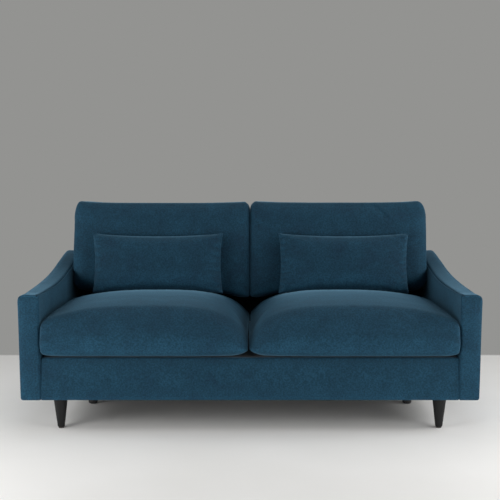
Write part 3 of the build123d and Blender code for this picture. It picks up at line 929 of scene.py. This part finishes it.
@dataclass
class SeatCushion(Cushion):
    """Loose seat cushion: crowned both ways, rolled over the front and flat where it lies on the deck."""

    kind: str = "seat_cushion"
    fullness: float = 0.85
    cap: float = 7.0
    inner: float = 2.2
    outer: float = 791.0
    front: float = -446.0
    rear: float = 324.0
    base: float = 289.6
    half_height: float = 85.0
    spacing: float = 10.0
    middle_drop: float = 62.0
    front_swell: float = 11.0
    corner_spread: float = 10.0
    arm_face: float = 791.5
    inner_reach: Pair = (3.0, 10.0)
    filled_outer: float = 801.0
    filled_front: float = -459.0
    meeting_shift: float = 6.5
    front_lift: float = 5.0
    gather: float = 2.2
    rear_rest: Pair = (325.0, 432.0)
    length_limits: Pair = (-462.0, 326.0)
    samples: int = 300
    soften: int = 15
    crown_line: Line = (
        (-470.0, 444.0), (-430.0, 456.0), (-380.0, 468.0), (-300.0, 481.0), (-210.0, 490.0),
        (-130.0, 493.0), (-60.0, 489.0), (0.0, 480.0), (45.0, 471.0), (160.0, 455.0), (340.0, 429.7),
    )
    edge_line: Line = (
        (-470.0, 424.0), (-300.0, 432.0), (0.0, 430.0), (214.0, 412.0), (340.0, 402.0),
    )

    def along(self, line: Line, y: Array) -> Array:
        """Softened height of a line that runs from front to rear.

        Args:
            line: Places and heights.
            y: Places wanted.

        Returns:
            The heights there.
        """
        fine = np.linspace(line[0][0], line[-1][0], self.samples)
        coarse = np.interp(fine, *np.array(line).T)
        window = np.hanning(2 * self.soften + 1)
        padded = np.pad(coarse, self.soften, mode="edge")
        return np.interp(y, fine, np.convolve(padded, window / window.sum(), mode="valid"))

    def build(self) -> None:
        """Makes the cover before it is filled."""
        half = np.array([(self.outer - self.inner) / 2, (self.rear - self.front) / 2, self.half_height])
        lattice = Lattice.over(half, self.spacing)
        a, b, c = lattice.points.T
        upper = ease(c, -0.9, 0.7)
        front = ease(-b, 0.2, 0.9)
        middle_side = ease(-a, 0.3, 0.9)
        end = np.abs(a) ** 4
        # The rounding grows towards the top, the front and the middle of the sofa.
        rx = 36.0 + 10.0 * middle_side + 26.0 * middle_side * upper
        ry = 20.0 + 10.0 * end + 16.0 * front * (1 - upper) + (28.0 + 52.0 * front) * upper
        rz = 14.0 + 20.0 * end + 18.0 * front * (1 - upper)
        rz += (38.0 - 14.0 * end + 14.0 * middle_side + 22.0 * front) * upper
        # The outer front corner is boxed, so it is crisper than the rest of the roll.
        boxed = ease(a, 0.55, 0.98) * front
        rx -= 12.0 * boxed
        ry -= 60.0 * boxed * upper
        rz -= (24.0 + 12.0 * upper) * boxed
        spot = lattice.rounded(half, np.stack([rx, ry, rz], axis=1))
        share = (spot[:, 2] + half[2]) / (2 * half[2])
        y = (self.front + self.rear) / 2 + spot[:, 1]
        part = np.abs(spot[:, 0] / half[0])
        edge = self.along(self.edge_line, y)
        crown = self.along(self.crown_line, y)
        towards_middle = spot[:, 0] < 0
        edge -= np.where(towards_middle, self.middle_drop, 0.0)
        top = edge + (crown - edge) * (1 - part ** np.where(towards_middle, 3.7, 2.4))
        # The underside lifts towards the ends and the front, so that only the middle lies on the deck.
        floor = self.base + np.where(towards_middle, 15.0, 8.0) * part ** 5 + ease(-y, 380.0, 440.0)
        z = floor + share * (top - floor)
        # The front face swells, most below the middle of its height.
        rounding = np.sin(np.pi * np.clip(share, 0, 1) ** 0.85) ** 0.8
        y -= self.front_swell * front * rounding * (1 - 0.4 * part ** 2) * ease(-b, 0.8, 1.0)
        x = (self.inner + self.outer) / 2 + spot[:, 0]
        # Where it comes past the arm's front, the outer corner spreads a little.
        x += self.corner_spread * ease(a, 0.7, 1.0) * np.exp(-(((y + 452.0) / 18.0) ** 2)) * rounding
        points = np.stack([self.side.value * x, y, z], axis=1)
        self.sew(points, lattice.faces(self.side is Side.LEFT))

    def fit(self, points: Array) -> Array:
        """Seats the filled cushion on the deck, against the arm and under what rests on it.

        Args:
            points: The swollen points.

        Returns:
            The points, flat where it touches something.
        """
        inner = self.inner - self.side.pick(self.inner_reach)
        x = stretched(points[:, 0] * self.side.value, inner, self.filled_outer)
        y, z = points[:, 1], points[:, 2]
        x = np.minimum(x, self.arm_face + 7.5 * ease(-y, 438.0, 448.0))
        # In front the cushions press on a line a little to the left, so that no light passes between them.
        x = np.maximum(x, self.inner - self.side.value * self.meeting_shift * ease(-y, -20.0, 120.0))
        y = np.where(y < 0, y * self.filled_front / y.min(), y)
        # Gathers at the outer front corner, where the boxing turns.
        corner = ease(x, 700.0, 780.0) * ease(-y, 400.0, 452.0)
        corner *= ease(z, 310.0, 350.0) * (1 - ease(z, 400.0, 440.0))
        y = y + self.gather * corner * np.sin((z * 0.6 + x * 0.35) / 6.5)
        # The front edge lifts off the border, and the rear is pressed down by the back cushion.
        z = np.maximum(z, self.base + self.front_lift * ease(-y, 370.0, 440.0))
        rest = self.rear_rest[1] + (self.rear_rest[0] - y) * math.tan(Lean.angle) - 0.4
        z = z - np.maximum(z - rest, 0.0) * ease(y, 10.0, 50.0)
        y = np.clip(y, *self.length_limits)
        return np.stack([x * self.side.value, y, z], axis=1)


@dataclass
class BackCushion(Cushion):
    """Loose back cushion: a boxed cushion with a soft face, full top corners and a sewn edge."""

    kind: str = "back_cushion"
    inner: float = 2.5
    outer: float = 787.0
    bottom: float = 141.0
    height: float = 392.0
    rear: float = 4.0
    face: float = 186.0
    spacing: float = 8.5
    outer_top_round: Pair = (0.0, 18.0)
    outer_low_round: float = 48.0
    drawn_in: Pair = (15.0, 4.0)
    ears: Pair = (9.0, 5.0)
    face_swell: float = 10.0
    filled_across: Pair = (-11.5, 801.0)
    filled_rise: Pair = (138.0, 548.5)
    filled_proud: Pair = (1.0, 199.0)
    arm_face: float = 790.5
    seat_rise: float = 140.6
    proud_limits: Pair = (3.2, 198.4)
    fold_start: Pair = (548.0, 532.0)
    fold_slope: float = 0.95
    fold_lip: float = 3.6
    fold_depth: float = 5.0
    contact_turn: float = 0.012
    top_notch: float = 9.0
    corner_sink: float = 28.0

    def build(self) -> None:
        """Makes the cover before it is filled."""
        half = np.array([(self.outer - self.inner) / 2, (self.face - self.rear) / 2, self.height / 2])
        lattice = Lattice.over(half, self.spacing)
        a, b, c = lattice.points.T
        fronting = ease(b, -0.8, 0.8)
        lower = ease(-c, 0.1, 0.8)
        outward = ease(a, -0.3, 0.3)
        # The corners are tight, apart from the outer ones.
        outer_corner = self.side.pick(self.outer_top_round) * (1 - lower) + self.outer_low_round * lower
        corner = 14.0 + 10.0 * fronting * (1 - lower) + outward * outer_corner
        roll = fronting * ease(c, 0.3, 0.8)
        radii = np.stack([corner, 18.0 + 16.0 * fronting + 14.0 * roll, corner + 34.0 * roll], axis=1)
        spot = lattice.rounded(half, radii)
        across = (self.inner + self.outer) / 2 + spot[:, 0]
        rise = self.bottom + half[2] + spot[:, 2]
        proud = (self.rear + self.face) / 2 + spot[:, 1]
        # The outer side is drawn in towards the top, and the top corners stand up as small ears.
        up = (spot[:, 2] / half[2] + 1) / 2
        across -= self.side.pick(self.drawn_in) * up ** 1.5 * np.clip(a, 0, 1)
        rise += ease(up, 0.8, 1.0) * np.where(a > 0, *self.ears) * np.abs(a) ** 5
        proud += ease(b, 0.6, 1.0) * self.face_swell * (1 - a ** 4) * (1 - c ** 4)
        points = Lean.place(self.side.value * across, rise, proud)
        self.sew(points, lattice.faces(self.side is Side.RIGHT))

    def fit(self, points: Array) -> Array:
        """Seats the filled cushion on the seat and against the back.

        Args:
            points: The swollen points.

        Returns:
            The points, flat where it touches something.
        """
        across, rise, proud = Lean.local(points)
        across = stretched(across * self.side.value, *self.filled_across)
        rise = stretched(rise, *self.filled_rise)
        proud = stretched(proud, *self.filled_proud)
        # A slack fold runs down from the top edge of the right-hand cushion.
        if self.side is Side.RIGHT:
            down = self.fold_start[1] - rise
            off = (across - self.fold_start[0] - self.fold_slope * down) * 0.72
            fold = ease(-down, -82.0, -50.0) * ease(proud, 150.0, 180.0)
            lip = self.fold_lip * np.exp(-((off - 15.0) / 10.0) ** 2)
            proud += fold * (lip - self.fold_depth * np.exp(-(off / 9.0) ** 2))
        # The two cushions meet on a plane that turns a little, so that no light passes between them.
        contact = self.contact_turn * (proud - 100.0)
        across = np.clip(across, 0.4 + self.side.value * contact, self.arm_face)
        # At the top the two part again in a small notch.
        across += self.top_notch * ease(rise, 514.0, 558.0) ** 0.8 * ease(-across, -40.0, 0.0)
        # The inner bottom corner sinks into the dip between the two seats.
        sunk = self.corner_sink * ease(-across, -190.0, -20.0)
        rise -= sunk * ease(-rise, -240.0, -150.0)
        rise = np.maximum(rise, self.seat_rise - sunk)
        proud = np.clip(proud, *self.proud_limits)
        return Lean.place(across * self.side.value, rise, proud)


@dataclass
class LumbarPillow(Cushion):
    """Knife-edge pillow: two panels sewn together all round, so its sides pull in between the corners."""

    kind: str = "lumbar_pillow"
    fullness: float = 0.75
    pressure: float = 3.0
    centres: Pair = (-404.0, 410.0)
    width: float = 572.0
    height: float = 260.0
    bottom: float = 136.0
    mid: float = 243.0
    rear_depth: float = 38.0
    front_depth: float = 60.0
    edge: float = 2.0
    spacing: float = 6.0
    seed: int = 11
    side_draw: float = 10.0
    end_draw: float = 12.0
    filled_rise: Pair = (131.0, 397.0)
    pucker: float = 8.5
    seat_rise: float = 140.7
    corner_hang: float = 10.0
    proud_limits: Pair = (199.2, 312.0)

    @property
    def centre(self) -> float:
        """Middle of the pillow across the sofa: the right one is pushed outwards a little."""
        return self.side.pick(self.centres)

    def build(self) -> None:
        """Makes the cover before it is filled."""
        half = np.array([self.width / 2, self.edge, self.height / 2])
        lattice = Lattice.over(half, self.spacing)
        a, b, c = lattice.points.T
        bulge = ((1 - np.abs(a) ** 2.3) * (1 - np.abs(c) ** 2.4)) ** 0.55
        depth = np.where(b > 0, self.front_depth, self.rear_depth)
        skin = np.abs(b) > 0.99
        proud = self.mid + b * self.edge + np.where(skin, np.sign(b) * depth * bulge, 0.0)
        # The seam draws the sides in between the corners.
        across = half[0] * a - np.sign(a) * np.abs(a) ** 3 * self.side_draw * (1 - c ** 2)
        drawn = self.end_draw * np.where(c > 0, 1.0, 0.5)
        rise = half[2] * c - np.sign(c) * np.abs(c) ** 3 * drawn * (1 - a ** 2)
        points = Lean.place(self.centre + across, rise + self.bottom + half[2], proud)
        # Across, out and up make a left-handed frame, so the faces of both pillows are turned.
        self.sew(points, lattice.faces(True))

    def fit(self, points: Array) -> Array:
        """Seats the filled pillow on the seat and against the back cushion.

        Args:
            points: The swollen points.

        Returns:
            The points, flat where it touches something.
        """
        across, rise, proud = Lean.local(points)
        middle = self.centre
        across = stretched(across, middle - self.width / 2, middle + self.width / 2)
        low, high = self.filled_rise
        rise = stretched(rise, low, high)
        # Small puckers run in from the seam.
        to_side = self.width / 2 - np.abs(across - middle)
        to_end = np.minimum(rise - low, high - rise)
        seed = self.seed + self.side.value
        tuck = np.exp(-to_side / 32.0) * ripple(rise, 0.25 * across, seed, 22.0)
        tuck += 0.5 * np.exp(-to_end / 20.0) * ripple(across, 0.25 * rise, seed + 5, 34.0)
        away = np.clip((proud - self.mid) / 8.0, -1.0, 1.0)
        proud += self.pucker * away * tuck
        # The bottom seam bears on the crown of the seat, and its corners hang lower.
        bearing = self.seat_rise - self.corner_hang * ease(np.abs(across - middle), 150.0, 280.0)
        rise = np.maximum(rise, bearing)
        proud = np.clip(proud, *self.proud_limits)
        return Lean.place(across, rise, proud)


@dataclass
class Studio:
    """Pale floor, soft light and the camera at the photograph's angle."""

    camera_place: Place = (0.0, -3.7867, 1.0475)
    tilt_down: float = 5.90
    lens: float = 64.8
    floor_pale: str = "ecebe8"
    floor_worn: str = "f2f1ef"
    wall_grey: str = "939391"
    wall_start: float = 0.9
    floor_reach: float = 14.0
    floor_cloud_mm: float = 666.667
    room_light: float = 0.07

    def build(self) -> None:
        """Makes the floor, the lights, the world and the camera."""
        scene = bpy.context.scene
        scene.view_settings.view_transform = "Standard"
        self.floor()
        self.world()
        self.lamp("left_softbox", (-2.1, -1.8, 0.85), (-0.4, -0.3, 0.4), 1.1, 30.0)
        self.lamp("right_softbox", (2.1, -1.8, 0.85), (0.4, -0.3, 0.4), 1.1, 22.0)
        self.lamp("left_low_softbox", (-1.5, -2.6, 0.35), (-0.4, -0.4, 0.35), 0.6, 8.0)
        self.lamp("right_low_softbox", (1.5, -2.6, 0.35), (0.4, -0.4, 0.35), 0.6, 6.0)
        self.lamp("left_side_softbox", (-2.7, -0.6, 1.5), (0.3, -0.1, 0.6), 1.2, 26.0)
        self.lamp("right_side_softbox", (2.7, -0.6, 1.5), (-0.3, -0.1, 0.6), 1.2, 42.0)
        self.lamp("front_softbox", (0.0, -2.4, 2.6), (0.0, -0.2, 0.4), 1.6, 5.0)
        self.lamp("rear_softbox", (0.0, 3.0, 1.7), (0.0, 0.4, 0.5), 1.6, 16.0)
        self.lamp("top_softbox", (0.0, 0.7, 2.9), (0.0, -0.1, 0.4), 2.0, 16.0)
        lens = bpy.data.cameras.new("camera")
        lens.lens = self.lens
        lens.sensor_width = 36.0
        lens.dof.use_dof = False
        camera = bpy.data.objects.new("camera", lens)
        camera.location = self.camera_place
        camera.rotation_euler = (math.radians(90.0 - self.tilt_down), 0.0, 0.0)
        scene.collection.objects.link(camera)
        scene.camera = camera

    def looked_at(self, tree: Tree) -> Socket:
        """Tells the rays that show the background: straight ones, mirrored ones and those through glass.

        Args:
            tree: Node tree that takes the nodes.

        Returns:
            Value of 1 on those rays and 0 on the rays that light the room.
        """
        path = add_node(tree, "LightPath")
        mirrored = add_node(tree, "Math", {"operation": "MAXIMUM"}, {
            0: path.outputs["Is Glossy Ray"], 1: path.outputs["Is Transmission Ray"],
        })
        shown = add_node(tree, "Math", {"operation": "MAXIMUM"}, {
            0: path.outputs["Is Camera Ray"], 1: mirrored.outputs[0],
        })
        return shown.outputs[0]

    def floor(self) -> None:
        """Makes the floor: pale boards in front, a grey ground further back."""
        mesh = bpy.data.meshes.new("floor")
        far = self.floor_reach
        corners = [(-far, -far, 0), (far, -far, 0), (far, far, 0), (-far, far, 0)]
        mesh.from_pydata(corners, [], [(0, 1, 2, 3)])
        floor = bpy.data.objects.new("floor", mesh)
        bpy.context.scene.collection.objects.link(floor)
        material, tree, place = new_material("limewashed_floor")
        depth = add_node(tree, "SeparateXYZ", None, {0: place}).outputs["Y"]
        back = add_node(tree, "MapRange", {
            "From Min": self.wall_start, "From Max": self.wall_start + 0.03,
        }, {"Value": depth})
        cloud = noise(tree, place, self.floor_cloud_mm, 3.0)
        pale = ramp(tree, cloud, ((0.3, self.floor_pale), (0.7, self.floor_worn)))
        boards = add_node(tree, "BsdfPrincipled", {"Roughness": 0.75}, {"Base Color": pale})
        beyond = add_node(tree, "Emission", {"Color": linear(self.wall_grey), "Strength": 1.0})
        seen = add_node(tree, "Math", {"operation": "MULTIPLY"},
                        {0: back.outputs[0], 1: self.looked_at(tree)})
        ground = add_node(tree, "MixShader", None,
                          {0: seen.outputs[0], 1: boards.outputs[0], 2: beyond.outputs[0]})
        add_node(tree, "OutputMaterial", None, {"Surface": ground.outputs[0]})
        mesh.materials.append(material)

    def world(self) -> None:
        """Makes the even room light, and a grey background where the camera looks past the floor."""
        world = bpy.data.worlds.new("studio")
        world.use_nodes = True
        tree = world.node_tree
        tree.nodes.clear()
        room = add_node(tree, "Background", {"Color": linear("ffffff"), "Strength": self.room_light})
        seen = add_node(tree, "Background", {"Color": linear(self.wall_grey), "Strength": 1.0})
        mixed = add_node(tree, "MixShader", None, {
            0: self.looked_at(tree), 1: room.outputs[0], 2: seen.outputs[0],
        })
        add_node(tree, "OutputWorld", None, {"Surface": mixed.outputs[0]})
        bpy.context.scene.world = world

    def lamp(self, name: str, place: Place, aim: Place,
             size: float, power: float) -> None:
        """Hangs one softbox.

        Args:
            name: Name of the lamp.
            place: Where it hangs.
            aim: Point that it faces.
            size: Side of its square face in metres.
            power: Power in watts.
        """
        light = bpy.data.lights.new(name, "AREA")
        light.size = size
        light.energy = power
        lamp = bpy.data.objects.new(name, light)
        lamp.location = place
        way = np.array(aim) - np.array(place)
        tilt = math.acos(-way[2] / np.linalg.norm(way))
        lamp.rotation_euler = (tilt, 0.0, math.atan2(way[0], -way[1]) + math.pi)
        bpy.context.scene.collection.objects.link(lamp)


def main() -> None:
    """Builds the sofa's pieces in order, then the studio."""
    logging.basicConfig(level=logging.INFO, format="%(message)s")
    shop = Workshop(make_finishes())
    shop.dress_nodes()
    for side in Side:
        Arm(side, shop).build()
    Panel("front_border_velvet", ("front_border_cover", "front_border_pad"),
          low=(-796.0, -438.0, 125.6), high=(796.0, -414.0, 288.0),
          radius=14.0, low_radius=4.0, belly=1.5, lean_front=2.5, shop=shop).build()
    Panel("inside_back_velvet", ("inside_back_cover", "back_pad"),
          low=(-794.6, 335.0, 289.4), high=(794.6, 456.8, 745.0),
          radius=16.0, low_radius=2.0, belly=0.0, lean_front=8.0, shop=shop).build()
    StapledSheet("outside_back_velvet", "outside_back_cover", normal=1, slack=-1.0, slot="velvet",
                 rests_on=("back_posts", "rear_bottom_rail"), shop=shop, cloth=2.4).build()
    StapledSheet("underside_dust_cloth", "dust_cloth", normal=2, slack=-6.0, slot="dust_cloth",
                 rests_on=("front_rail", "rear_bottom_rail"), shop=shop).build()
    SeatDeck(shop).build()
    cushions = [kind(side, shop) for side in Side for kind in (SeatCushion, BackCushion, LumbarPillow)]
    for cushion in cushions:
        cushion.build()
    fill_cushions(cushions)
    for cushion in cushions:
        cushion.settle()
    Studio().build()


if __name__ == "__main__":
    main()
